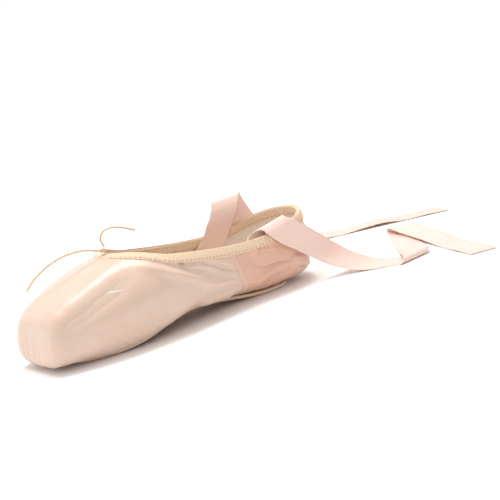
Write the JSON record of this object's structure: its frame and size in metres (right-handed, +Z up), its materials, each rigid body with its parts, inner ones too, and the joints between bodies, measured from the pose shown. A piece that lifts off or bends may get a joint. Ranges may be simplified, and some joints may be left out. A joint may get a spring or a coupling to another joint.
{
  "type": "pointe shoe",
  "caption": "Satin dance shoe with a hard flat-ended toe box, low gathered collar with a drawstring, narrow stitched leather sole and ankle ribbons, standing empty on its sole.",
  "frame": {"origin": "on the floor under the middle of the shoe's length and width, the free ribbons and drawstring ends left out", "axes": "+Z up, -X towards the toe, +X towards the heel, Y across the shoe, which is the same on both sides of Y = 0"},
  "size_m": [0.4393, 0.2137, 0.0791],
  "materials": {
    "satin": "pale pink duchesse satin over pasted canvas",
    "cotton_binding": "cream cotton tape, puckered",
    "sole_leather": "tan leather, fine grain, skived edge",
    "canvas_lining": "plain off-white cotton canvas",
    "ribbon_satin": "single-faced pink satin ribbon",
    "cotton_cord": "waxed cream cotton cord"
  },
  "bodies": {
    "root": {"upper": "satin", "collar_binding": "cotton_binding", "outsole": "sole_leather", "insole": "canvas_lining", "ribbon_near": "ribbon_satin", "ribbon_far": "ribbon_satin", "drawstring_knot": "cotton_cord", "drawstring_end_long": "cotton_cord", "drawstring_end_short": "cotton_cord"}
  },
  "joints": []
}
